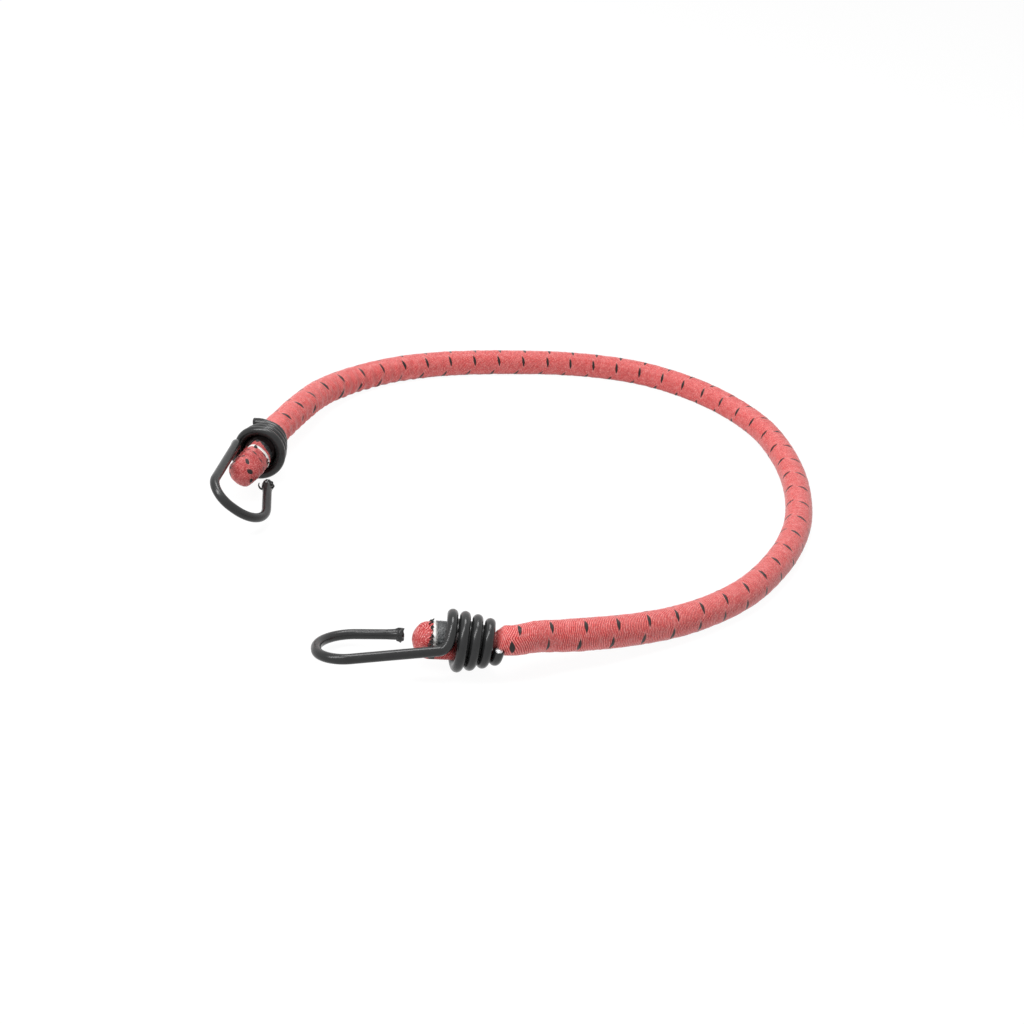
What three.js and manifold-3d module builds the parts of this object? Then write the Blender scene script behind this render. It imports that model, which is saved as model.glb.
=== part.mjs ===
// Bungee cord: an elastic cord lying in a loose open loop, with a wire hook wound on each folded end.
// Millimetres, +Z up. The floor is Z = 0 and the origin lies under the middle of the part's box.
import * as THREE from 'three';
import { mergeVertices } from 'three/addons/utils/BufferGeometryUtils.js';
import Module from 'manifold-3d';

// Cord: a braided sheath over a bundle of rubber strands, pressed a little flat where it lies
const cordDiameter = 10;
const sheathWall = 1.5;
const strandGap = 0.2;
const strandsInRing = 6;
const floorFlat = 1;
const cordSides = 10;
const strandSides = 6;
const cordSteps = 25;
const throatLead = 2.5;

// Hook: one length of coated wire, wound into a cone on the cord and bent into an open U
const wireDiameter = 3;
const coatingWall = 0.3;
const wireGap = 0.17;
const mouthRoom = 2.5;
const throatSqueeze = 3.3;
const coilTurns = 3.98;
const coilPitch = 3.67;
const coilTaper = 1.5;
const coilBendAngle = 40;
const coilBendPull = 0.4;
const shankStart = 5;
const shankLength = 25.3;
const frontBendRadius = 7.9;
const frontBendAngle = 98;
const crownLength = 1.2;
const backBendRadius = 10.9;
const backBendAngle = 97;
const returnLength = 13.1;
const tipLength = 1.2;
const tipFlare = 0.45;
const springAngle = 60;
const wireSides = 6;
const loopSteps = 24;
const bendSteps = 8;

// Folded end: the cord turned back on itself in the coil's mouth, its cut tail crimped in a ferrule
const foldFill = 0.92;
const throatGap = 0.55;
const legGap = 0.3;
const foldWall = 0.8;
const coreGap = 0.3;
const bareRubber = 1.2;
const ferruleOut = 3.6;
const ferruleIn = 1.2;
const ferruleWall = 0.5;
const ferruleRib = 0.25;
const ferruleRibs = 4;
const foldSides = 12;
const foldSteps = 5;
const turnSteps = 8;

// Gap between pieces that meet face to face
const faceGap = 0.3;

// Where each coil's mouth lies, which way its axis points,
// how its hook and fold sit, and how far the wire's cut end has sprung off the coil
const ends = {
  near: {
    mouth: [-16.05, -110.45, 8.97],
    yaw: 190.5,
    pitch: -5.15,
    hookTurn: 15,
    hookSet: -3.4,
    shankLean: 13,
    cutSpring: 0,
    foldTurn: -12,
    foldReach: 10.5,
    foldRoom: 0.6,
    foldDrop: 0.2,
  },
  far: {
    mouth: [-94.3, -29.2, 9.25],
    yaw: -91.5,
    pitch: 3.2,
    hookTurn: 148.6,
    hookSet: -0.5,
    shankLean: -2.7,
    cutSpring: 2.6,
    foldTurn: -39,
    foldReach: 17,
    foldRoom: 1.3,
    foldDrop: 0.75,
  },
};

// The cord's route between the coils: X, Y and how far it is lifted off the floor
const route = [
  [10.8, -99.3, 6.2],
  [20.3, -92.7, 5.2],
  [35.7, -80, 2.7],
  [51.3, -65.6, 0.7],
  [65, -50.5, 0],
  [76.5, -34.5, 0],
  [85.5, -16.5, 0],
  [92.5, 2.5, 0],
  [97, 22, 0],
  [98.5, 41.5, 0],
  [97.5, 61.5, 0],
  [93.5, 81, 0],
  [86, 99.5, 0],
  [72.5, 114.5, 0],
  [55.5, 124, 0],
  [36, 127.5, 0],
  [16.5, 124.5, 0],
  [-2, 117.5, 0],
  [-20, 108, 0],
  [-37, 97.5, 0],
  [-53, 85.5, 0],
  [-67, 71.5, 0],
  [-78.5, 55, 0.1],
  [-86, 36.5, 1.6],
  [-89.5, 17, 3.7],
];

// Sizes that follow from the ones above
const cordRadius = cordDiameter / 2;
const wireRadius = wireDiameter / 2;
const restHeight = cordRadius - floorFlat;
const mouthBore = cordDiameter + mouthRoom;
const throatBore = cordDiameter - throatSqueeze;
const coilLength = coilTurns * coilPitch;
const coilSweep = 2 * Math.PI * coilTurns;
const mouthRadius = mouthBore / 2 + wireRadius;
const throatRadius = throatBore / 2 + wireRadius;
const throatX = -(coilLength + wireRadius);
const { degToRad } = THREE.MathUtils;

const colours = {
  sheath: 0xcf6f6d,
  rubber: 0xe9e2d2,
  coating: 0x2b2c2d,
  steel: 0xb9bcc0,
  ferrule: 0x3a3c3d,
};

const finishes = {
  sheath: { roughness: 0.85, metalness: 0 },
  rubber: { roughness: 0.7, metalness: 0 },
  coating: { roughness: 0.45, metalness: 0 },
  steel: { roughness: 0.35, metalness: 0.9 },
  ferrule: { roughness: 0.5, metalness: 0.3 },
};

const wasm = await Module();
wasm.setup();

function toSolid(geometry) {
  const bare = geometry.clone();
  bare.deleteAttribute('normal');
  bare.deleteAttribute('uv');
  const merged = mergeVertices(bare, 1e-5);
  return new wasm.Manifold(new wasm.Mesh({
    numProp: 3,
    vertProperties: new Float32Array(merged.attributes.position.array),
    triVerts: new Uint32Array(merged.index.array),
  }));
}

function toGeometry(solid) {
  const mesh = solid.getMesh();
  const geometry = new THREE.BufferGeometry();
  geometry.setAttribute('position', new THREE.BufferAttribute(mesh.vertProperties, 3));
  geometry.setIndex(new THREE.BufferAttribute(mesh.triVerts, 1));
  geometry.computeVertexNormals();
  return geometry;
}

function piece(name, geometry, stuff) {
  const material = new THREE.MeshStandardMaterial({ color: colours[stuff], ...finishes[stuff] });
  const mesh = new THREE.Mesh(geometry, material);
  mesh.name = name;
  return mesh;
}

// A regular polygon whose corners lie on a circle
function polygon(radius, sides, centreX = 0, centreY = 0) {
  const corners = [];
  for (let k = 0; k < sides; k += 1) {
    const angle = (2 * Math.PI * k) / sides;
    corners.push(new THREE.Vector2(centreX + radius * Math.cos(angle), centreY + radius * Math.sin(angle)));
  }
  return corners;
}

function tubeShape(outerRadius, boreRadius, sides) {
  const shape = new THREE.Shape(polygon(outerRadius, sides));
  shape.holes.push(new THREE.Path(polygon(boreRadius, sides)));
  return shape;
}

// A path with one step between each station and the next
class StationCurve extends THREE.Curve {
  constructor(stations) {
    super();
    this.stations = stations;
  }

  getPoint(t, target = new THREE.Vector3()) {
    const place = t * (this.stations.length - 1);
    const index = Math.min(Math.floor(place), this.stations.length - 2);
    return target.lerpVectors(this.stations[index], this.stations[index + 1], place - index);
  }

  getUtoTmapping(u) {
    return u;
  }
}

function sweep(shape, stations) {
  return new THREE.ExtrudeGeometry(shape, {
    steps: stations.length - 1,
    extrudePath: new StationCurve(stations),
  });
}

// A surface through rings of equal count: a closed loop of rings, or a chain with a cap on each end
function ringSurface(rings, isLoop) {
  const count = rings[0].length;
  const indices = [];
  const lastStep = isLoop ? rings.length : rings.length - 1;
  for (let r = 0; r < lastStep; r += 1) {
    const here = r * count;
    const next = ((r + 1) % rings.length) * count;
    for (let k = 0; k < count; k += 1) {
      const after = (k + 1) % count;
      indices.push(here + k, here + after, next + after);
      indices.push(here + k, next + after, next + k);
    }
  }
  const top = (rings.length - 1) * count;
  for (let k = 1; !isLoop && k < count - 1; k += 1) {
    indices.push(0, k + 1, k);
    indices.push(top, top + k, top + k + 1);
  }
  const geometry = new THREE.BufferGeometry().setFromPoints(rings.flat());
  geometry.setIndex(indices);
  geometry.computeVertexNormals();
  return geometry;
}

// The widest leg of a given thickness and offset whose ellipse still lies inside a round bore
function widestHalf(half, offset, radius) {
  const spare = radius * radius - half * half - offset * offset;
  const product = half * offset;
  return Math.sqrt(half * half + (spare + Math.sqrt(spare * spare - 4 * product * product)) / 2);
}

// Folded end: two legs side by side in the coil's mouth, drawn in to one round neck in its throat
const ferruleTaper = ((mouthBore - throatBore) / 2) * (ferruleIn / coilLength) ** coilTaper;
const neckRadius = throatBore / 2 - throatGap;

function foldSection({ foldRoom, foldReach, foldDrop }) {
  const radius = mouthBore / 2 - foldRoom;
  const legHalf = (foldFill * radius - legGap / 2) / 2;
  const legCentre = legGap / 2 + legHalf;
  return {
    legHalf,
    legCentre,
    legWide: widestHalf(legHalf, legCentre, radius),
    ferruleWide: widestHalf(legHalf, legCentre, radius - ferruleTaper),
    turnCentre: foldReach - legCentre - legHalf,
    foldDrop,
  };
}

// Stations run in the fold's own X-Z plane, X out of the coil and Z towards the tail
function station(x, z, direction, half, wide) {
  return { x, z, direction, half, wide };
}

function ring({ x, z, direction, half, wide }, inset) {
  const points = [];
  for (let k = 0; k < foldSides; k += 1) {
    const angle = (2 * Math.PI * k) / foldSides;
    const across = (half - inset) * Math.sin(angle);
    points.push(new THREE.Vector3(
      x - across * Math.sin(direction),
      (wide - inset) * Math.cos(angle),
      z + across * Math.cos(direction),
    ));
  }
  return points;
}

function tube(stations, wall) {
  const outer = stations.map((s) => ring(s, 0));
  const bore = stations.map((s) => ring(s, wall));
  return ringSurface([...outer, ...bore.reverse()], true);
}

// From the coil's throat through its mouth, round the turn, to where the sheath is cut on the tail
function foldStations({ legHalf, legCentre, legWide, turnCentre, foldDrop }) {
  const stations = [];
  for (let k = 0; k <= foldSteps; k += 1) {
    const t = k / foldSteps;
    const half = THREE.MathUtils.lerp(neckRadius, legHalf, t);
    const wide = THREE.MathUtils.lerp(neckRadius, legWide, t);
    stations.push(station(throatX * (1 - t), -legCentre * t, 0, half, wide));
  }
  for (let k = 0; k <= turnSteps; k += 1) {
    const turn = (Math.PI * k) / turnSteps;
    const x = turnCentre + legCentre * Math.sin(turn);
    const z = -legCentre * Math.cos(turn) - foldDrop;
    stations.push(station(x, z, turn, legHalf, legWide));
  }
  stations.push(station(ferruleOut + bareRubber, legCentre, Math.PI, legHalf, legWide));
  return stations;
}

function foldCore(sheathStations, { legHalf, legCentre, ferruleWide }) {
  const inset = foldWall + coreGap;
  const tailInset = ferruleRib + ferruleWall + coreGap;
  const rings = sheathStations.map((s) => ring(s, inset));
  const tailWide = ferruleWide - tailInset + inset;
  rings.push(ring(station(ferruleOut + faceGap, legCentre, Math.PI, legHalf, tailWide), inset));
  rings.push(ring(station(-ferruleIn, legCentre, Math.PI, legHalf, tailWide), inset));
  return ringSurface(rings, false);
}

// A crimped sleeve with rolled ribs round the tail's rubber
function ferrule({ legHalf, legCentre, ferruleWide }) {
  const length = ferruleOut + ferruleIn;
  const outer = [];
  for (let k = 0; k <= 2 * ferruleRibs; k += 1) {
    const groove = k % 2 === 0 ? ferruleRib : 0;
    const x = ferruleOut - (length * k) / (2 * ferruleRibs);
    outer.push(ring(station(x, legCentre, Math.PI, legHalf, ferruleWide), groove));
  }
  const boreInset = ferruleRib + ferruleWall;
  const bore = [ferruleOut, -ferruleIn].map(
    (x) => ring(station(x, legCentre, Math.PI, legHalf, ferruleWide), boreInset),
  );
  return ringSurface([...outer, ...bore.reverse()], true);
}

// Hook wire: X runs out of the coil along its axis, the shank lies on the +Y side, the U in the X-Y plane
function coilPoint(angle, cutSpring) {
  const t = angle / coilSweep;
  const sprung = Math.max(0, 1 - (coilSweep - angle) / degToRad(springAngle));
  const radius = THREE.MathUtils.lerp(mouthRadius, throatRadius, t ** coilTaper) + cutSpring * sprung ** 2;
  return new THREE.Vector3(-coilLength * t, radius * Math.cos(angle), radius * Math.sin(angle));
}

function coilStations(cutSpring) {
  const stations = [];
  const startAngle = degToRad(coilBendAngle);
  const steps = Math.ceil(((coilSweep - startAngle) / (2 * Math.PI)) * loopSteps);
  for (let k = 0; k <= steps; k += 1) {
    stations.push(coilPoint(THREE.MathUtils.lerp(coilSweep, startAngle, k / steps), cutSpring));
  }
  return stations;
}

// The bend from the coil's first turn into the shank
function bendStations(coil, shankFoot, shankDirection) {
  const from = coil[coil.length - 1];
  const out = from.clone().sub(coil[coil.length - 2]).normalize();
  const handle = from.distanceTo(shankFoot) * coilBendPull;
  const bend = new THREE.CubicBezierCurve3(
    from,
    from.clone().addScaledVector(out, handle),
    shankFoot.clone().addScaledVector(shankDirection, -handle),
    shankFoot,
  );
  return bend.getPoints(bendSteps).slice(1);
}

// Straights and arcs laid end to end in the hook's plane, from the shank's foot to the tip
function uStations() {
  const at = new THREE.Vector3(shankStart, mouthRadius, 0);
  const stations = [at.clone()];
  let heading = 0;
  const go = (length) => {
    at.add(new THREE.Vector3(length * Math.cos(heading), length * Math.sin(heading), 0));
    stations.push(at.clone());
  };
  const turn = (radius, angle) => {
    const step = angle / bendSteps;
    for (let k = 0; k < bendSteps; k += 1) {
      heading -= step / 2;
      go(2 * radius * Math.sin(step / 2));
      heading -= step / 2;
    }
  };
  go(shankLength);
  turn(frontBendRadius, degToRad(frontBendAngle));
  go(crownLength);
  turn(backBendRadius, degToRad(backBendAngle));
  go(returnLength);
  return stations;
}

// The whole wire, its U leaning in its own plane and set to one side of the coil's axis
function hookStations({ hookSet, shankLean, cutSpring }) {
  const coil = coilStations(cutSpring);
  const bent = new THREE.Euler(0, -degToRad(hookSet), degToRad(shankLean));
  const [foot, ...rest] = uStations().map((p) => p.applyEuler(bent));
  const shankDirection = rest[0].clone().sub(foot).normalize();
  return [...coil, ...bendStations(coil, foot, shankDirection), ...rest];
}

// The least clear distance between a wire and itself, measured between points half a loop or more apart
function leastSelfGap(stations) {
  const pointsPerStep = 4;
  const halfLoop = Math.PI * throatRadius;
  const points = new StationCurve(stations).getPoints(pointsPerStep * (stations.length - 1));
  const along = [0];
  for (let k = 1; k < points.length; k += 1) {
    along.push(along[k - 1] + points[k].distanceTo(points[k - 1]));
  }
  let least = Infinity;
  for (let i = 0; i < points.length; i += 1) {
    for (let j = i + 1; j < points.length; j += 1) {
      if (along[j] - along[i] > halfLoop) {
        least = Math.min(least, points[i].distanceTo(points[j]) - wireDiameter);
      }
    }
  }
  return least;
}

// The coating's closed end on the tip, with its lip of flared vinyl
function tipCap(tip, before) {
  const profile = [
    new THREE.Vector2(0, -tipLength / 2),
    new THREE.Vector2(wireRadius - coatingWall / 2, -tipLength / 2),
    new THREE.Vector2(wireRadius + tipFlare, 0),
    new THREE.Vector2(wireRadius, tipLength / 2),
    new THREE.Vector2(0, tipLength / 2),
  ];
  const cap = new THREE.LatheGeometry(profile, wireSides * 2);
  const heading = tip.clone().sub(before).normalize();
  cap.applyQuaternion(new THREE.Quaternion().setFromUnitVectors(new THREE.Vector3(0, 1, 0), heading));
  cap.translate(tip.x, tip.y, tip.z);
  return cap;
}

function coating(stations) {
  const shape = tubeShape(wireRadius, wireRadius - coatingWall, wireSides);
  const sleeve = toSolid(sweep(shape, stations));
  const cap = toSolid(tipCap(stations[stations.length - 1], stations[stations.length - 2]));
  return toGeometry(sleeve.add(cap));
}

function steelCore(stations) {
  const radius = wireRadius - coatingWall - wireGap;
  const covered = stations.map((p) => p.clone());
  const tip = covered[covered.length - 1];
  const before = covered[covered.length - 2];
  const back = before.clone().sub(tip).normalize();
  tip.addScaledVector(back, tipLength / 2 + faceGap);
  return sweep(new THREE.Shape(polygon(radius, wireSides)), covered);
}

function endFrame({ mouth, yaw, pitch }) {
  const group = new THREE.Group();
  group.position.set(...mouth);
  group.rotation.set(0, -degToRad(pitch), degToRad(yaw), 'ZYX');
  group.updateMatrixWorld();
  return group;
}

function cordEnd(name, end, frame) {
  const wire = hookStations(end);
  const hook = new THREE.Group();
  hook.rotation.x = degToRad(end.hookTurn);
  hook.add(
    piece(`${name}_hook_wire`, steelCore(wire), 'steel'),
    piece(`${name}_hook_coating`, coating(wire), 'coating'),
  );
  const fold = new THREE.Group();
  fold.rotation.x = degToRad(end.foldTurn);
  const section = foldSection(end);
  const stations = foldStations(section);
  fold.add(
    piece(`${name}_fold_sheath`, tube(stations, foldWall), 'sheath'),
    piece(`${name}_fold_core`, foldCore(stations, section), 'rubber'),
    piece(`${name}_end_ferrule`, ferrule(section), 'ferrule'),
  );
  frame.add(hook, fold);
}

// The cord's centre line, straight out of each coil's throat and then along the floor
function cordPath(nearFrame, farFrame) {
  const leave = [throatX - faceGap, throatX - faceGap - throatLead];
  const out = leave.map((x) => nearFrame.localToWorld(new THREE.Vector3(x, 0, 0)));
  const back = leave.reverse().map((x) => farFrame.localToWorld(new THREE.Vector3(x, 0, 0)));
  const middle = route.map(([x, y, lift]) => new THREE.Vector3(x, y, restHeight + lift));
  return new THREE.CatmullRomCurve3([...out, ...middle, ...back]);
}

// The sheath, pressed flat where it lies on the floor
function cordSheath(path) {
  const shape = tubeShape(cordRadius, cordRadius - sheathWall, cordSides);
  const round = toSolid(new THREE.ExtrudeGeometry(shape, { steps: cordSteps, extrudePath: path }));
  const reach = path.getLength();
  const floor = new THREE.BoxGeometry(reach, reach, cordDiameter);
  floor.translate(0, 0, -cordRadius);
  return toGeometry(round.subtract(toSolid(floor)));
}

function strand(path, radius, x, y) {
  const shape = new THREE.Shape(polygon(radius, strandSides, x, y));
  return new THREE.ExtrudeGeometry(shape, { steps: cordSteps, extrudePath: path });
}

function rubberStrands(path) {
  const boreFlat = (cordRadius - sheathWall) * Math.cos(Math.PI / cordSides);
  const radius = (boreFlat - 2 * strandGap) / 3;
  const ringRadius = 2 * radius + strandGap;
  const strands = [strand(path, radius, 0, 0)];
  for (let k = 0; k < strandsInRing; k += 1) {
    const angle = (2 * Math.PI * k) / strandsInRing;
    strands.push(strand(path, radius, ringRadius * Math.cos(angle), ringRadius * Math.sin(angle)));
  }
  return strands.map((geometry, k) => piece(`rubber_strand_${k + 1}`, geometry, 'rubber'));
}

const bungee = new THREE.Group();
const nearFrame = endFrame(ends.near);
const farFrame = endFrame(ends.far);
const path = cordPath(nearFrame, farFrame);
cordEnd('near', ends.near, nearFrame);
cordEnd('far', ends.far, farFrame);
bungee.add(
  nearFrame,
  farFrame,
  piece('cord_sheath', cordSheath(path), 'sheath'),
  ...rubberStrands(path),
);
for (const [name, end] of Object.entries(ends)) {
  const gap = leastSelfGap(hookStations(end));
  console.log(`least gap between the turns of the ${name} hook's wire: ${gap.toFixed(2)} mm`);
}
console.log(`cord between the coils: ${path.getLength().toFixed(0)} mm`);

export default bungee;
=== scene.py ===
"""Bungee cord on a pale floor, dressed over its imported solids: a braided elastic cord lying in an open loop,
its folded ends held in the wound mouths of two hooks of black coated wire. Metres, +Z up, floor at Z = 0."""

import math

import bmesh
import bpy
from mathutils import Matrix, Vector, noise


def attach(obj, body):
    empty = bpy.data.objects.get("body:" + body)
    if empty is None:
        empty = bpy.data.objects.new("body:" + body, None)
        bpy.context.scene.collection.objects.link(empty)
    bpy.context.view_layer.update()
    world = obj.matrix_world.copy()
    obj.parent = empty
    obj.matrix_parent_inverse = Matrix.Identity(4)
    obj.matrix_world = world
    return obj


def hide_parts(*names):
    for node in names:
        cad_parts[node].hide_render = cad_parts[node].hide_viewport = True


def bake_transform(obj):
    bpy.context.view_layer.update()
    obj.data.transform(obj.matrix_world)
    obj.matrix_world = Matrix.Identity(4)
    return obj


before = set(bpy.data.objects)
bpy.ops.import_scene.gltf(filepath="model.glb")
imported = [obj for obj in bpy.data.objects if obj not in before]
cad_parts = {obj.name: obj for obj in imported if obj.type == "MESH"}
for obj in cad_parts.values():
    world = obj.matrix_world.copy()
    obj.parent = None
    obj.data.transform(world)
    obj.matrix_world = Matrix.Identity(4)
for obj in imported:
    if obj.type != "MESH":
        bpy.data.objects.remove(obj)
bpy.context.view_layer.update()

MM = 0.001

# Cord
CORD_RADIUS = 5 * MM
CORD_SIDES = 36
CORD_STEP = 0.3 * MM
CORD_LUMPS = [(0.13 * MM, 420), (0.10 * MM, 1500)]
REST_HEIGHT = 4 * MM
THROAT_LEAD = 2.5 * MM
FACE_GAP = 0.3 * MM
DRAWN_IN = 2.4 * MM
NECK_LENGTH = 1.6 * MM
NECK_SHARE = 0.70
NECK_SHADE = 0.3
THROAT_LIFT = 1.2 * MM
GATHER_PITCH = 5 * MM
GATHER_DEPTH = 0.30 * MM

# Hook wire
WIRE_RADIUS = 1.5 * MM
WIRE_SIDES = 24
STEEL_RADIUS = WIRE_RADIUS - 0.25 * MM
STEEL_SIDES = 16
COIL_TURNS = 3.98
COIL_STEPS = 260
COIL_LENGTH = COIL_TURNS * 3.67 * MM
COIL_TAPER = 1.5
COIL_SWELL = 0.1 * MM
SWELL_STEPS = 30
SPRING_ANGLE = math.radians(60)
MOUTH_BORE = 12.5 * MM
THROAT_BORE = 6.7 * MM
MOUTH_RADIUS = MOUTH_BORE / 2 + WIRE_RADIUS
THROAT_RADIUS = THROAT_BORE / 2 + WIRE_RADIUS
THROAT_X = -(COIL_LENGTH + WIRE_RADIUS)
SHANK_START = 5 * MM
SHANK_LENGTH = 25.3 * MM
FRONT_BEND = (7.9 * MM, math.radians(98))
CROWN_LENGTH = 1.2 * MM
BACK_BEND = (10.9 * MM, math.radians(97))
RETURN_LENGTH = 13.1 * MM
COIL_BEND_ANGLE = math.radians(40)
COIL_BEND_PULL = 0.4
# A sheet of vinyl between the coil's turns, set in where it lies in shade: it stands in for the dark gaps
SHADE_WEB_START = 14
SHADE_WEB_INSET = 0.9 * MM
SHADE_WEB_THICKNESS = 0.4 * MM

# The torn lip of vinyl on a hook's tip: millimetres past the tip, and its thickness as a share of the wire's
LIP = [(-1.5, 1), (-1.1, 1.06), (-0.7, 1.20), (-0.2, 1.34), (0.3, 1.30), (0.6, 1.05), (0.62, 0.5)]

# Folded end
FOLD_FILL = 0.92
FOLD_SIDES = 40
FOLD_LOOSE = 1
FOLD_LUMPS = [(0.16 * MM, 330), (0.09 * MM, 1400)]
NECK_ROOM = 0.15 * MM
COIL_ROOM = 0.45 * MM
LEG_GAP = 0.3 * MM
FERRULE_OUT = 3.6 * MM
FERRULE_IN = 1.2 * MM
FERRULE_ROWS = 24
BARE_RUBBER = 1.2 * MM
RUBBER_SIDES = 24
RUBBER_INSET = 0.4 * MM
RAGGED_EDGE = 0.6 * MM
RAGGED_STEPS = 4
STRIP_STEPS = 12
STRIP_LEAST = 1.6
STRIP_PROUD = 0.16 * MM

# What differs between the two ends, in millimetres and degrees
ENDS = {
    "near": dict(
        body="cord", mouth=(-16.05, -110.45, 8.97), yaw=190.5, pitch=-5.15,
        hook_turn=15, hook_set=-3.4, shank_lean=13, cut_spring=0, bare_cut=True,
        fold_turn=-12, fold_reach=10.5, fold_room=0.6, fold_drop=0.2, fold_weave=(5, 11),
        swell=-0.25, rubber=-0.3, ribs=0.22, strip=0, threads=72,
        wisps=[[(0, 0.4, 0), (-0.2, 1.1, 0.2), (-0.5, 1.7, 0.1)],
               [(0.2, -0.6, 0.4), (0.5, -1.4, 0.4), (0.4, -1.9, 0.2)]],
    ),
    "far": dict(
        body="far_end", mouth=(-94.3, -29.2, 9.25), yaw=-91.5, pitch=3.2,
        hook_turn=148.6, hook_set=-0.5, shank_lean=-2.7, cut_spring=2.6, bare_cut=False,
        fold_turn=-39, fold_reach=17, fold_room=1.3, fold_drop=0.75, fold_weave=(9, 4.6),
        swell=0.4, rubber=0.25, ribs=0.06, strip=4.2, threads=8,
        wisps=[[(-0.8, -1.3, 0.6), (-2.1, -1.2, 0.8), (-2.8, -0.2, 0.6), (-2.7, 0.7, 0.3)],
               [(0.4, 0.3, 0.4), (1.6, 0.3, 0.6), (2.2, -0.4, 0.5), (1.9, -1.0, 0.4)]],
    ),
}

# The cord's route between the coils: X, Y and lift off the floor, in millimetres
ROUTE = [
    (10.8, -99.3, 6.2), (20.3, -92.7, 5.2), (35.7, -80, 2.7), (51.3, -65.6, 0.7), (65, -50.5, 0),
    (76.5, -34.5, 0), (85.5, -16.5, 0), (92.5, 2.5, 0), (97, 22, 0), (98.5, 41.5, 0), (97.5, 61.5, 0),
    (93.5, 81, 0), (86, 99.5, 0), (72.5, 114.5, 0), (55.5, 124, 0), (36, 127.5, 0), (16.5, 124.5, 0),
    (-2, 117.5, 0), (-20, 108, 0), (-37, 97.5, 0), (-53, 85.5, 0), (-67, 71.5, 0), (-78.5, 55, 0.1),
    (-86, 36.5, 1.6), (-89.5, 17, 3.7),
]

# The black yarn along the cord, in millimetres from the near throat: how many times it has shown, read off
# the photograph at every few stitches, and how far the braid has twisted, in degrees
BRAID_TURNS = [
    (0, -0.4), (3.5, 0), (13, 0.8), (27, 1.95), (39, 2.9), (52, 3.9), (64.5, 4.9), (126, 9.95), (189, 15),
    (249, 20.15), (299, 25.15), (353, 30.15), (410, 35.1), (444, 38.05), (484, 41), (506, 43), (520, 44.3),
]
BRAID_TWIST = [
    (0, 13), (4, 9), (13, 20), (27, 24), (52, 25), (93, 20), (123, 9), (343, 9), (411, 24), (458, 46),
    (520, 52),
]
BRAID_COLUMNS = 5

# How thick the cord is along its length, as a share of its full thickness: its near end is drawn thinner
GIRTH = [(-0.2, 0.88), (5, 0.89), (12, 0.94), (27, 1), (520, 1)]

# How much the sheath is gathered on the inner side of the bend, along the cord
GATHERED = [(0, 0), (394, 0), (439, 1), (519, 1)]

# The photograph's view: 29 degrees above the floor, tipped 13 degrees
VIEW_TURN = Matrix.Rotation(math.radians(90 - 28.99), 3, "X") @ Matrix.Rotation(math.radians(13.16), 3, "Z")
VIEW_MIDDLE = Vector((-6.4, -10.95, 0)) * MM
VIEW_DISTANCE = 522.4 * MM
FILM_WIDTH = 36
LENS = FILM_WIDTH * 1491.6 / 1024

# Lamps: place, size and power
LAMPS = {
    "overhead": ((-0.1, 0.35, 1.0), (0.42, 0.42), 5.4),
    "strip": ((-0.47, -0.39, 0.85), (0.15, 0.9), 7.8),
}
SKY_LIGHT = 0.21


def camera():
    data = bpy.data.cameras.new("camera")
    data.sensor_width = FILM_WIDTH
    data.lens = LENS
    data.clip_start = 0.01
    eye = bpy.data.objects.new("camera", data)
    back = VIEW_TURN.col[2] * VIEW_DISTANCE
    eye.matrix_world = Matrix.Translation(VIEW_MIDDLE + back) @ VIEW_TURN.to_4x4()
    bpy.context.scene.collection.objects.link(eye)
    bpy.context.scene.camera = eye


def mix(a, b, t):
    return a + (b - a) * t


def smooth(t):
    t = max(0, min(1, t))
    return t * t * (3 - 2 * t)


def ramp(low, high, at):
    """0 before low, 1 past high and smooth between."""
    return smooth((at - low) / (high - low))


def level(stations, at):
    """The height at a place of a line drawn through stations, each a place and a height."""
    for (x0, y0), (x1, y1) in zip(stations, stations[1:]):
        if at <= x1:
            break
    return mix(y0, y1, (at - x0) / (x1 - x0))


def smooth_line(points, steps):
    """A centripetal Catmull-Rom line through points."""
    ends = [2 * points[0] - points[1], *points, 2 * points[-1] - points[-2]]
    line = []
    for p0, p1, p2, p3 in zip(ends, ends[1:], ends[2:], ends[3:]):
        d0, d1, d2 = [math.sqrt((b - a).length) for a, b in ((p0, p1), (p1, p2), (p2, p3))]
        out = ((p1 - p0) / d0 - (p2 - p0) / (d0 + d1) + (p2 - p1) / d1) * d1
        into = ((p2 - p1) / d1 - (p3 - p1) / (d1 + d2) + (p3 - p2) / d2) * d1
        for k in range(steps):
            t = k / steps
            line.append((2 * t**3 - 3 * t**2 + 1) * p1 + (t**3 - 2 * t**2 + t) * out
                        + (3 * t**2 - 2 * t**3) * p2 + (t**3 - t**2) * into)
    return [*line, points[-1]]


def even_steps(line, step):
    """Points an even distance apart along a line, and the line's length."""
    gone = [0.0]
    for a, b in zip(line, line[1:]):
        gone.append(gone[-1] + (b - a).length)
    count = round(gone[-1] / step)
    points, k = [], 0
    for n in range(count + 1):
        at = gone[-1] * n / count
        while k < len(line) - 2 and gone[k + 1] < at:
            k += 1
        points.append(line[k].lerp(line[k + 1], (at - gone[k]) / (gone[k + 1] - gone[k])))
    return points, gone[-1]


def headings(points):
    ends = [points[0], *points, points[-1]]
    return [(c - a).normalized() for a, c in zip(ends, ends[2:])]


def coil_frame(end):
    """The coil's own frame: X out of its mouth along its axis."""
    place = Vector(end["mouth"]) * MM
    yaw = Matrix.Rotation(math.radians(end["yaw"]), 4, "Z")
    pitch = Matrix.Rotation(-math.radians(end["pitch"]), 4, "Y")
    return Matrix.Translation(place) @ yaw @ pitch


def on_ring(around):
    return Vector((math.cos(around * math.tau), math.sin(around * math.tau), 0))


def lumps(point, sizes):
    """How far the yarn stands out at a place: noise of each depth, with so many marks in a metre."""
    return sum(depth * noise.noise(point * scale) for depth, scale in sizes)


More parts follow.
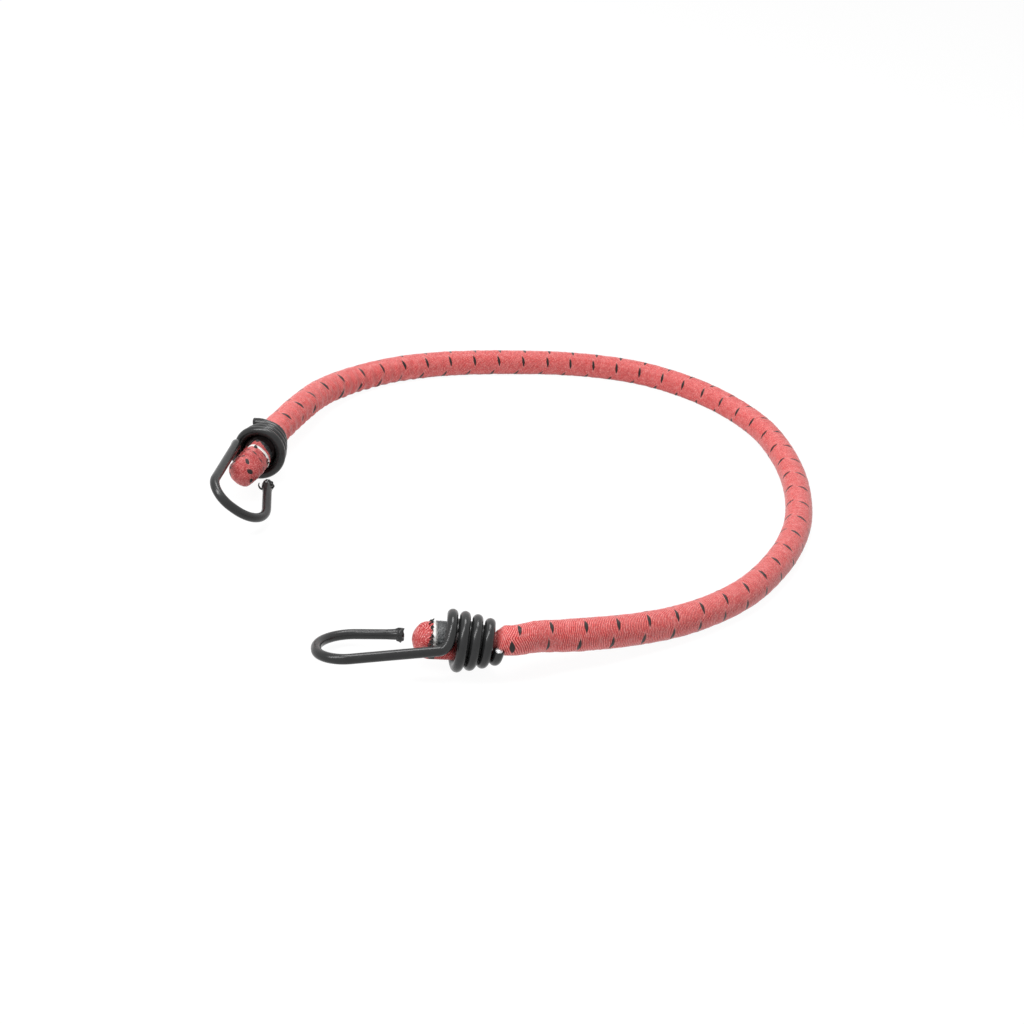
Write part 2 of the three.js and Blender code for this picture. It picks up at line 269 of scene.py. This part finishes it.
def finished(name, bm, paint, body=None, nodes=()):
    """Makes a bmesh into a piece of the object."""
    mesh = bpy.data.meshes.new(name)
    bm.to_mesh(mesh)
    bm.free()
    mesh.shade_smooth()
    mesh.materials.append(paint)
    piece = bpy.data.objects.new(name, mesh)
    bpy.context.scene.collection.objects.link(piece)
    if body:
        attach(piece, body)
    if nodes:
        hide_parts(*nodes)
    return piece


def rolled_sheet(sides, steps, place):
    """A sheet rolled into a tube. place(around, step) gives a point, its place in the weave, and how deep it
    lies in the coil's shade with how loose the weave is there."""
    bm = bmesh.new()
    for layer in ("weave", "shade"):
        bm.loops.layers.uv.new(layer)
    weave, shade = [bm.loops.layers.uv[layer] for layer in ("weave", "shade")]
    bmesh.ops.create_grid(bm, x_segments=sides, y_segments=steps, size=0.5)
    bm.verts.index_update()
    placed = [place(vert.co.x + 0.5, round((vert.co.y + 0.5) * steps)) for vert in bm.verts]
    for face in bm.faces:
        for loop in face.loops:
            loop[weave].uv, loop[shade].uv = placed[loop.vert.index][1:]
    for vert, (point, *_) in zip(bm.verts, placed):
        vert.co = point
    bmesh.ops.remove_doubles(bm, verts=bm.verts, dist=1e-6)
    bmesh.ops.recalc_face_normals(bm, faces=bm.faces)
    return bm


class Tone:
    """A socket of a material's nodes. Sums on it add Math nodes."""

    def __init__(self, tree, socket):
        self.tree = tree
        self.socket = socket

    def node(self, kind, settings, sockets, out=0):
        made = self.tree.nodes.new("ShaderNode" + kind)
        for name, value in settings.items():
            setattr(made, name, value)
        for name, value in sockets.items():
            if isinstance(value, Tone):
                self.tree.links.new(value.socket, made.inputs[name])
            else:
                made.inputs[name].default_value = value
        return Tone(self.tree, made.outputs[out])

    def math(self, operation, *values):
        return self.node("Math", {"operation": operation}, dict(enumerate(values)))

    def __add__(self, other):
        return self.math("ADD", self, other)

    __radd__ = __add__

    def __sub__(self, other):
        return self.math("SUBTRACT", self, other)

    def __rsub__(self, other):
        return self.math("SUBTRACT", other, self)

    def __mul__(self, other):
        return self.math("MULTIPLY", self, other)

    __rmul__ = __mul__

    def __abs__(self):
        return self.math("ABSOLUTE", self)

    def layer(self, name):
        """The two numbers of a UV map on the piece."""
        place = self.node("UVMap", {"uv_map": name}, {})
        return [place.node("SeparateXYZ", {}, {"Vector": place}, out=k) for k in range(2)]

    def off_middle(self):
        """How far a value lies from the nearest whole number, from -0.5 to 0.5."""
        return self - self.math("ROUND", self)

    def wave(self):
        """A wave from 0 to 1, with its crest at each whole number."""
        return self.math("COSINE", self * math.tau) * 0.5 + 0.5

    def fade(self, low, high):
        """0 below low, 1 above high and smooth between."""
        settings = {"interpolation_type": "SMOOTHSTEP"}
        return self.node("MapRange", settings, {"Value": self, "From Min": low, "From Max": high})

    def blend(self, first, second):
        """One colour turning into another as this value goes from 0 to 1."""
        return self.node("Mix", {"data_type": "RGBA"}, {0: self, 6: first, 7: second}, out=2)

    def speckle(self, scale, detail=2):
        """Noise from 0 to 1 at a scale of marks for each metre."""
        return self.node("TexNoise", {}, {"Vector": self, "Scale": scale, "Detail": detail})

    def bump(self, height, strength, depth):
        return self.node("Bump", {}, {"Strength": strength, "Distance": depth, "Height": height})

    def seen(self):
        """1 for what is seen straight, in a shine or through glass, and 0 for light that falls on things."""
        kinds = ("Camera", "Glossy", "Transmission")
        straight, shine, glass = [self.node("LightPath", {}, {}, out=f"Is {kind} Ray") for kind in kinds]
        return self.math("MINIMUM", straight + shine + glass, 1)


def paint(name):
    """A new material: its shader, and a socket that gives places on the piece in metres."""
    material = bpy.data.materials.new(name)
    material.use_nodes = True
    tree = material.node_tree
    shader = tree.nodes["Principled BSDF"]
    place = tree.nodes.new("ShaderNodeTexCoord").outputs["Object"]
    return material, shader, Tone(tree, place)


def feed(shader, **sockets):
    """Links what changes over a surface, and sets what doesn't, on a shader's sockets."""
    for name, value in sockets.items():
        socket = shader.inputs[name.replace("_", " ")]
        if isinstance(value, Tone):
            shader.id_data.links.new(value.socket, socket)
        else:
            socket.default_value = value


def braid_paint():
    """Coral red braid: fine yarns in columns that lean by turns, with a black yarn showing in each column."""
    material, shader, place = paint("coral_braid")
    column, turn = place.layer("weave")
    shade, loose = place.layer("shade")
    across = column.off_middle()
    lean = abs((column * 0.5 + 0.25).off_middle()) * 7.6
    drift = place.speckle(300, 2) * (1.2 + loose * 2)
    yarn = (turn * 19 - column * 3.8 + lean + drift).wave()
    fibre = place.speckle(2300, 3)
    patch = place.speckle(500, 3)
    reach = 1 - across * across * 6.5
    odd = abs((column.math("ROUND", column) * 0.5).off_middle())
    aside = abs((turn - across * (odd * 0.38 + 0.06)).off_middle())
    black = (reach * (loose * 0.03 + 0.057) - aside).fade(-0.004, 0.012)
    halo = (reach * 0.05 + 0.05 - aside).fade(0, 0.03) * (1 - reach.fade(0.1, 0.6))
    # Deep red between the yarns and bright red on their crests: painted shade in the grooves, mixed with
    # random fibre tone.
    groove_shading = (yarn * (0.75 - loose * 0.45) + fibre * 0.75).fade(0.28, 1.12)
    red = groove_shading.blend((0.39, 0.023, 0.025, 1), (0.96, 0.160, 0.150, 1))
    red = (patch.fade(0.42, 0.72) * 0.35).blend(red, (0.90, 0.26, 0.25, 1))
    # Pale pink on the yarns' crests and fibre peaks: partly pale fibres, partly painted glints.
    fleck_and_glint = (yarn * 0.5 + fibre).fade(0.88, 1.15) * 0.68
    red = fleck_and_glint.blend(red, (0.95, 0.60, 0.57, 1))
    red = (halo * 0.2).blend(red, (0.82, 0.50, 0.47, 1))
    colour = black.blend(red, (0.018, 0.014, 0.013, 1))
    colour = shade.blend(colour, (0.012, 0.003, 0.003, 1))
    bump = place.bump(yarn * 0.6 + fibre * 0.5 - black * 0.3, 0.5, 0.0002)
    feed(shader, Base_Color=colour, Roughness=0.24 + fibre * 0.2, Normal=bump, Specular_IOR_Level=0.28,
         Sheen_Weight=0.1, Sheen_Roughness=0.4, Sheen_Tint=(1, 0.78, 0.75, 1))
    return material


def vinyl_paint():
    """Satin black vinyl dip."""
    material, shader, place = paint("black_vinyl")
    cloud = place.speckle(300, 3)
    grain = place.speckle(2600, 2)
    colour = cloud.blend((0.013, 0.0134, 0.0138, 1), (0.026, 0.0264, 0.0268, 1))
    bump = place.bump(grain + cloud, 0.05, 0.0001)
    feed(shader, Base_Color=colour, Roughness=0.18 + cloud * 0.14, Normal=bump, Specular_IOR_Level=0.36)
    return material


def steel_paint():
    """Sheared wire, bright and torn."""
    material, shader, place = paint("cut_steel")
    scratch = place.speckle(2600, 3)
    colour = scratch.fade(0.3, 0.6).blend((0.30, 0.30, 0.31, 1), (0.86, 0.86, 0.86, 1))
    bump = place.bump(scratch, 0.8, 0.0003)
    feed(shader, Base_Color=colour, Roughness=0.25 + scratch * 0.3, Normal=bump, Metallic=0.85)
    return material


def rubber_paint():
    """Bare latex, off-white and a little dusty."""
    material, shader, place = paint("cream_rubber")
    cloud = place.speckle(1100, 3)
    colour = cloud.fade(0.3, 0.65).blend((0.78, 0.75, 0.71, 1), (0.95, 0.94, 0.92, 1))
    bump = place.bump(cloud, 0.4, 0.0002)
    feed(shader, Base_Color=colour, Roughness=0.45 + cloud * 0.25, Normal=bump)
    return material


def ferrule_paint():
    """Dark moulded sleeve with rows of raised ovals, greyed where it is rubbed, with a painted highlight on
    its rim.
    """
    material, shader, place = paint("dark_ferrule")
    column, row = place.layer("weave")
    rim = place.layer("shade")[0]
    cloud = place.speckle(1500, 3)
    across, down = column.off_middle(), row.off_middle()
    oval = 1 - (across * across * 5 + down * down * 9).fade(0.5, 1)
    rubbed = cloud.fade(0.35, 0.75) * 0.7 + oval * 0.3
    colour = rubbed.blend((0.018, 0.020, 0.021, 1), (0.095, 0.100, 0.102, 1))
    # Pale grey blotches on the rim: a painted highlight.
    colour = (rim * cloud.fade(0.3, 0.5)).blend(colour, (0.42, 0.41, 0.40, 1))
    bump = place.bump(cloud * 0.5 + oval, 0.7, 0.0002)
    feed(shader, Base_Color=colour, Roughness=0.32 + cloud * 0.2, Normal=bump)
    return material


def thread_paint():
    """Loose ends of the black yarn."""
    material, shader, place = paint("black_yarn")
    fluff = place.speckle(4000, 2)
    colour = fluff.blend((0.008, 0.007, 0.007, 1), (0.045, 0.035, 0.034, 1))
    feed(shader, Base_Color=colour, Roughness=0.7 + fluff * 0.2, Normal=place.bump(fluff, 0.5, 0.0001))
    return material


BRAID = braid_paint()
VINYL = vinyl_paint()
STEEL = steel_paint()
RUBBER = rubber_paint()
FERRULE = ferrule_paint()
YARN = thread_paint()


def cord():
    """The free cord between the coils, drawn in where it goes into each throat and flat where it lies."""
    leave = [THROAT_X - FACE_GAP + DRAWN_IN, THROAT_X - FACE_GAP - THROAT_LEAD]
    near, far = [coil_frame(ENDS[name]) for name in ("near", "far")]
    stations = [near @ Vector((x, 0, 0)) for x in leave]
    stations += [Vector((x * MM, y * MM, REST_HEIGHT + lift * MM)) for x, y, lift in ROUTE]
    stations += [far @ Vector((x, 0, 0)) for x in reversed(leave)]
    path, length = even_steps(smooth_line(stations, 24), CORD_STEP)
    ways = headings(path)
    steps = len(path) - 1

    def place(around, step):
        along = (length * step / steps - DRAWN_IN) / MM
        way = ways[step]
        side = way.cross(Vector((0, 0, 1))).normalized()
        rise = side.cross(way)
        angle = (around - 0.5) * math.tau
        outward = math.cos(angle) * rise + math.sin(angle) * side
        free = min(1, step * CORD_STEP / NECK_LENGTH, (steps - step) * CORD_STEP / NECK_LENGTH)
        radius = mix(NECK_SHARE, level(GIRTH, along), free**0.6) * CORD_RADIUS
        raised = THROAT_LIFT * ramp(-2.2, 0.2, along) * (1 - ramp(3, 20, along))
        point = path[step] + rise * raised + radius * outward
        inner_side = max(0, -math.sin(angle))
        gather = math.cos(math.tau * along * MM / GATHER_PITCH) * level(GATHERED, along) * inner_side
        point += outward * (lumps(point, CORD_LUMPS) + GATHER_DEPTH * gather)
        point.z = max(point.z, 0)
        turn = math.degrees(angle)
        column = (turn - level(BRAID_TWIST, along)) * BRAID_COLUMNS / 360
        return point, (column, level(BRAID_TURNS, along) + turn / 360), (NECK_SHADE * (1 - free), 0)

    bm = rolled_sheet(CORD_SIDES, steps, place)
    piece = finished("braided_cord", bm, BRAID,
                     nodes=["cord_sheath", *(f"rubber_strand_{k}" for k in range(1, 8))])
    path[::6] + path[-1:]
    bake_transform(piece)


def wire_line(end):
    """The hook's wire, from its cut end in the coil's throat, up the coil and round the hook to its tip."""
    last = math.tau * COIL_TURNS
    line = []
    for k in range(COIL_STEPS + 1):
        angle = mix(last, COIL_BEND_ANGLE, k / COIL_STEPS)
        sprung = max(0, 1 - (last - angle) / SPRING_ANGLE)
        radius = mix(MOUTH_RADIUS, THROAT_RADIUS, (angle / last) ** COIL_TAPER)
        radius += end["cut_spring"] * MM * sprung**2
        back = -COIL_LENGTH * angle / last
        line.append(Vector((back, radius * math.cos(angle), radius * math.sin(angle))))
    at, heading = Vector((SHANK_START, MOUTH_RADIUS, 0)), 0
    hook = [at.copy()]

    def go(distance, steps):
        for _ in range(steps):
            at.xy += Vector((math.cos(heading), math.sin(heading))) * distance / steps
            hook.append(at.copy())

    go(SHANK_LENGTH, 24)
    for radius, angle in (FRONT_BEND, BACK_BEND):
        for _ in range(24):
            heading -= angle / 48
            go(2 * radius * math.sin(angle / 48), 1)
            heading -= angle / 48
        go(CROWN_LENGTH if radius == FRONT_BEND[0] else RETURN_LENGTH, 6)
    bent = (Matrix.Rotation(-math.radians(end["hook_set"]), 3, "Y")
            @ Matrix.Rotation(math.radians(end["shank_lean"]), 3, "Z"))
    hook = [bent @ p for p in hook]
    start, way = line[-1], (line[-1] - line[-2]).normalized()
    foot, on = hook[0], (hook[1] - hook[0]).normalized()
    pull = (foot - start).length * COIL_BEND_PULL
    inner, outer = start + way * pull, foot - on * pull
    for k in range(1, 16):
        t = k / 16
        left = 1 - t
        line.append(start * left**3 + inner * 3 * t * left**2 + outer * 3 * t**2 * left + foot * t**3)
    place = coil_frame(end) @ Matrix.Rotation(math.radians(end["hook_turn"]), 4, "X")
    return [place @ p for p in line + hook]


def wire_frames(line):
    """A frame at each point of a wire, Z along the wire, with no twist from one to the next."""
    ways = headings(line)
    side = ways[0].orthogonal().normalized()
    frames = []
    for point, way in zip(line, ways):
        side = (side - way * side.dot(way)).normalized()
        turned = Matrix((side, way.cross(side), way)).transposed()
        frames.append(Matrix.Translation(point) @ turned.to_4x4())
    return frames


def drawn(bm, ring, frames, radii):
    """Draws a ring of edges on along frames, at a radius for each, and returns the last ring."""
    before = frames[0] @ Matrix.Diagonal((radii[0], radii[0], radii[0], 1))
    for place, radius in zip(frames[1:], radii[1:]):
        after = place @ Matrix.Diagonal((radius, radius, radius, 1))
        made = bmesh.ops.extrude_edge_only(bm, edges=ring)["geom"]
        verts = [g for g in made if isinstance(g, bmesh.types.BMVert)]
        ring = [g for g in made if isinstance(g, bmesh.types.BMEdge) and g.is_boundary]
        bmesh.ops.transform(bm, matrix=after @ before.inverted(), verts=verts)
        before = after
    return ring


def first_ring(bm, sides, place, radius):
    made = bmesh.ops.create_circle(bm, segments=sides, radius=radius, matrix=place)
    return list({edge for vert in made["verts"] for edge in vert.link_edges})


def rod(bm, sides, frames, radii):
    """A round rod drawn along frames and closed at both ends."""
    ring = first_ring(bm, sides, frames[0], radii[0])
    bmesh.ops.contextual_create(bm, geom=ring)
    ring = drawn(bm, ring, frames, radii)
    bmesh.ops.contextual_create(bm, geom=ring)
    bmesh.ops.recalc_face_normals(bm, faces=bm.faces)


def wisps(name, lines, thick, fine, paint, body):
    """Loose ends: thin rods that fine down from root to tip."""
    bm = bmesh.new()
    for line in lines:
        frames = wire_frames(smooth_line(line, 5))
        rod(bm, 6, frames, [mix(thick, fine, k / (len(frames) - 1)) for k in range(len(frames))])
    finished(name, bm, paint, body)


def torn(bm, at, reach, depth, seed):
    """Roughens what lies within reach of a place on the wire, as torn vinyl."""
    for vert in bm.verts:
        away = (vert.co - at.translation).length
        if away < reach:
            tear = noise.noise(vert.co * 1100 + Vector((seed, 0, 0)))
            vert.co += (vert.co - at.translation).normalized() * depth * tear
            vert.co += at.col[2].xyz * depth * 0.8 * noise.noise(vert.co * 1500 + Vector((0, seed, 0)))


def gap_shade_web(bm, line, coil):
    """A skin of vinyl that bridges one turn of the coil and the next, on the inner side of the wire and set in
    toward the axis so it lies in shade: a sheet that stands in for the dark gaps between the turns.
    """
    turn = COIL_STEPS * math.tau / (math.tau * COIL_TURNS - COIL_BEND_ANGLE)
    steps = int(COIL_STEPS - turn) - SHADE_WEB_START
    made = bmesh.ops.create_grid(bm, x_segments=1, y_segments=steps, size=0.5)["verts"]
    for vert in made:
        k = SHADE_WEB_START + round((vert.co.y + 0.5) * steps)
        if vert.co.x > 0:
            k += turn
        point = coil.inverted() @ line[int(k)].lerp(line[int(k) + 1], k % 1)
        point.yz *= 1 - SHADE_WEB_INSET / point.yz.length
        vert.co = coil @ point
    skin = list({face for vert in made for face in vert.link_faces})
    bmesh.ops.solidify(bm, geom=skin, thickness=SHADE_WEB_THICKNESS)


def hook(name, end):
    """A hook of coated wire: its vinyl, its steel, and loose threads of vinyl on its tip."""
    line = wire_line(end)
    frames = wire_frames(line)
    body = f"{name}_hook"
    tip = frames[-1]
    lip = [tip @ Matrix.Translation((0, 0, z * MM)) for z, _ in LIP]
    flare = [WIRE_RADIUS * share for _, share in LIP]
    on_coil = [max(0, min(1, (COIL_STEPS + SWELL_STEPS - k) / SWELL_STEPS)) for k in range(len(frames) - 2)]
    girths = [WIRE_RADIUS + COIL_SWELL * share for share in on_coil]
    sleeve = bmesh.new()
    ring = first_ring(sleeve, WIRE_SIDES, frames[0], girths[0])
    if not end["bare_cut"]:
        bmesh.ops.contextual_create(sleeve, geom=ring)
    ring = drawn(sleeve, ring, frames[:-2] + lip, girths + flare)
    bmesh.ops.contextual_create(sleeve, geom=ring)
    bmesh.ops.recalc_face_normals(sleeve, faces=sleeve.faces)
    gap_shade_web(sleeve, line, coil_frame(end))
    torn(sleeve, tip, reach=2.6 * MM, depth=0.75 * MM, seed=1)
    torn(sleeve, frames[1], reach=1.6 * MM, depth=0.12 * MM, seed=2)
    finished(f"{name}_vinyl", sleeve, VINYL, body, [f"{name}_hook_coating"])
    core = bmesh.new()
    cut = frames[0] @ Matrix.Translation((0, 0, (-0.4 if end["bare_cut"] else 0.2) * MM))
    inside = frames[2:-6]
    rod(core, STEEL_SIDES, [cut, *inside], [STEEL_RADIUS * 0.9] + [STEEL_RADIUS] * len(inside))
    torn(core, cut, reach=1.4 * MM, depth=0.15 * MM, seed=3)
    finished(f"{name}_steel", core, STEEL, body, [f"{name}_hook_wire"])
    threads = [[tip.translation + VIEW_TURN @ Vector(step) * MM for step in steps] for steps in end["wisps"]]
    wisps(f"{name}_torn_vinyl", threads, 0.46 * MM, 0.16 * MM, VINYL, body)


def widest_half(half, offset, radius):
    """Half the breadth of the widest oval that fits a round bore, given half its thickness and its offset."""
    spare = radius**2 - half**2 - offset**2
    return math.sqrt(half**2 + (spare + math.sqrt(spare**2 - 4 * (half * offset) ** 2)) / 2)


class Fold:
    """The shape of a cord's end turned back on itself in a coil's mouth. It is made of oval sections, each
    with its place along the coil's axis and across it, its heading, and half its thickness and breadth."""

    def __init__(self, name, end):
        self.name = name
        self.end = end
        self.body = end["body"]
        self.frame = coil_frame(end) @ Matrix.Rotation(math.radians(end["fold_turn"]), 4, "X")
        radius = MOUTH_BORE / 2 - end["fold_room"] * MM
        self.half = (FOLD_FILL * radius - LEG_GAP / 2) / 2
        self.centre = LEG_GAP / 2 + self.half
        self.wide = widest_half(self.half, self.centre, radius)

    def tail(self, places):
        """Sections of the tail that comes back, at places along the coil's axis."""
        return [(x, self.centre, math.pi, self.half, self.wide) for x in places]

    def sections(self):
        """Sections from the throat, where they fill the coil, round the turn to where the sheath is cut."""
        made = []
        for k in range(31):
            x = mix(THROAT_X, 0, k / 30)
            bore = mix(MOUTH_BORE, THROAT_BORE, min(1, -x / COIL_LENGTH) ** COIL_TAPER) / 2 - COIL_ROOM
            fill = max(bore, THROAT_BORE / 2 - NECK_ROOM)
            full = ramp(2.2, 4.4, -x / MM)
            thick, broad = [mix(size, fill, full) for size in (self.half, self.wide)]
            made.append((x, -self.centre * (1 - full), 0, thick, broad))
        turn_centre = self.end["fold_reach"] * MM - self.centre - self.half
        for k in range(41):
            angle = math.pi * k / 40
            x = turn_centre + self.centre * math.sin(angle)
            z = -self.centre * math.cos(angle) - self.end["fold_drop"] * MM
            made.append((x, z, angle, self.half, self.wide))
        cut = FERRULE_OUT + BARE_RUBBER
        return made + self.tail(mix(turn_centre, cut, k / 12) for k in range(1, 13))

    def place(self, section, around, inset=0.0, ragged=0.0):
        """A point on a section, sunk by inset, and how deep it lies in the coil's shade."""
        x, z, heading, thick, broad = section
        ring = on_ring(around)
        proud = self.end["swell"] * MM * ramp(3, 6, x / MM) - inset
        across = (thick + proud) * ring.y
        middle = Vector((x, 0, z))
        aside = (-across * math.sin(heading), (broad + proud) * ring.x, across * math.cos(heading))
        point = middle + Vector(aside)
        point += (point - middle).normalized() * lumps(point, FOLD_LUMPS)
        point.x += ragged * noise.noise(ring * 4)
        deep = ramp(0.8, 3, -x / MM) * (1 - 0.85 * ramp(12.3, 14, -x / MM))
        return self.frame @ point, deep

    def weave(self, around, run):
        """A place in the braid, a length along the fold."""
        columns, lead = self.end["fold_weave"]
        return around * columns, run / (lead * MM) + around * columns / 5


def fold_sheath(fold, sections):
    """The braided cover, ragged where it is cut."""
    last = len(sections) - 1
    run = [0.0]
    for a, b in zip(sections, sections[1:]):
        run.append(run[-1] + math.hypot(b[0] - a[0], b[1] - a[1]))

    def place(around, step):
        ragged = RAGGED_EDGE * max(0, step - last + RAGGED_STEPS) / RAGGED_STEPS
        point, deep = fold.place(sections[step], around, ragged=ragged)
        return point, fold.weave(around, run[step]), (deep, FOLD_LOOSE)

    bm = rolled_sheet(FOLD_SIDES, last, place)
    finished(f"{fold.name}_fold", bm, BRAID, fold.body, [f"{fold.name}_fold_sheath"])


def frayed_yarn(fold, sections):
    """Loose ends of black yarn round the cut edge of the sheath."""

    def chance(*seed):
        return noise.cell(Vector(seed))

    threads = []
    for k in range(fold.end["threads"]):
        around = chance(k * 1.7, 0.3, 0)
        root = fold.place(sections[-3], around, 0.1 * MM)[0]
        edge = fold.place(sections[-1], around, -0.12 * MM)[0]
        out = (edge - root).normalized() * mix(0.3, 1.1, chance(k, 2, 7)) * MM
        astray = Vector((chance(k, 5, 0) - 0.5, chance(k, 9, 0) - 0.5, chance(k, 13, 0) - 0.3)) * MM
        threads.append([root, edge, edge + out * 0.6 + astray * 0.4, edge + out + astray * 0.7])
    wisps(f"{fold.name}_frayed_yarn", threads, 0.30 * MM, 0.16 * MM, YARN, fold.body)


def fold_rubber(fold, sections):
    """The rubber, sunk in the sheath and the sleeve and bare between them."""
    bare = {len(sections) - 1, len(sections)}
    sections = sections + fold.tail((FERRULE_OUT, FERRULE_OUT, -FERRULE_IN))

    def place(around, step):
        inset = -fold.end["rubber"] * MM if step in bare else RUBBER_INSET
        return fold.place(sections[step], around, inset)[0], (around, step), (0, 0)

    bm = rolled_sheet(RUBBER_SIDES, len(sections) - 1, place)
    finished(f"{fold.name}_rubber", bm, RUBBER, fold.body, [f"{fold.name}_fold_core"])


def ferrule(fold):
    """The ribbed sleeve on the tail."""
    sections = fold.tail(mix(FERRULE_OUT, -FERRULE_IN, k / FERRULE_ROWS) for k in range(FERRULE_ROWS + 1))

    def place(around, step):
        point, _ = fold.place(sections[step], around, fold.end["ribs"] * MM * (step % 2))
        # The shade layer here marks the rows at the outer edge, where the paint puts a painted highlight on
        # the rim.
        return point, (around * 16, step / 8), (max(0, 1 - step / 2), 0)

    bm = rolled_sheet(FOLD_SIDES, FERRULE_ROWS, place)
    finished(f"{fold.name}_ferrule", bm, FERRULE, fold.body, [f"{fold.name}_end_ferrule"])


def sheath_strip(fold):
    """A strip of torn sheath left on the sleeve, longest on the photograph's left."""
    to_right = VIEW_TURN.col[0]
    out = fold.frame.col[0].xyz
    middle = fold.frame @ Vector((FERRULE_OUT, 0, fold.centre))
    rim = fold.tail([FERRULE_OUT])[0]

    def place(around, step):
        point, deep = fold.place(rim, around, -STRIP_PROUD)
        left = smooth(0.75 - 0.9 * (point - middle).normalized().dot(to_right))
        uneven = 0.8 + 0.5 * noise.noise(on_ring(around) * 3)
        reach = mix(STRIP_LEAST, fold.end["strip"] * uneven, left) * step / STRIP_STEPS
        column, turn = fold.weave(around, 0)
        return point - out * reach * MM, (column, turn + reach / 4), (deep, FOLD_LOOSE)

    bm = rolled_sheet(FOLD_SIDES, STRIP_STEPS, place)
    finished(f"{fold.name}_sheath_strip", bm, BRAID, fold.body)


def folded_end(name, end):
    fold = Fold(name, end)
    sections = fold.sections()
    fold_sheath(fold, sections)
    frayed_yarn(fold, sections)
    fold_rubber(fold, sections)
    ferrule(fold)
    if end["strip"]:
        sheath_strip(fold)


def floor():
    """A white floor that keeps the shadow."""
    bm = bmesh.new()
    bmesh.ops.create_grid(bm, x_segments=1, y_segments=1, size=12)
    bmesh.ops.translate(bm, verts=bm.verts, vec=(0, 0, -0.05 * MM))
    material, shader, place = paint("white_floor")
    feed(shader, Base_Color=(0.85, 0.85, 0.85, 1), Roughness=0.9, Specular_IOR_Level=0.1)
    seen = place.seen()
    glow = seen.node("Emission", {}, {"Color": (1, 1, 1, 1), "Strength": 1.06})
    both = seen.node("MixShader", {}, {0: seen * 0.90, 1: Tone(place.tree, shader.outputs[0]), 2: glow})
    place.tree.links.new(both.socket, place.tree.nodes["Material Output"].inputs["Surface"])
    finished("floor", bm, material)


def studio():
    """A white floor and sky, a soft box overhead and a strip light on the left."""
    scene = bpy.context.scene
    scene.view_settings.view_transform = "Standard"
    floor()
    world = bpy.data.worlds.new("sky")
    scene.world = world
    world.use_nodes = True
    back = world.node_tree.nodes["Background"]
    seen = Tone(world.node_tree, back.outputs[0]).seen()
    feed(back, Color=(1, 1, 1, 1), Strength=seen * (1 - SKY_LIGHT) + SKY_LIGHT)
    for name, (place, size, power) in LAMPS.items():
        data = bpy.data.lights.new(name, "AREA")
        data.shape = "RECTANGLE"
        data.size, data.size_y = size
        data.energy = power
        lamp = bpy.data.objects.new(name, data)
        aim = Vector(place).to_track_quat("Z", "Y").to_matrix().to_4x4()
        lamp.matrix_world = Matrix.Translation(place) @ aim
        scene.collection.objects.link(lamp)


camera()
cord()
for end_name, end_sizes in ENDS.items():
    hook(end_name, end_sizes)
    folded_end(end_name, end_sizes)
studio()
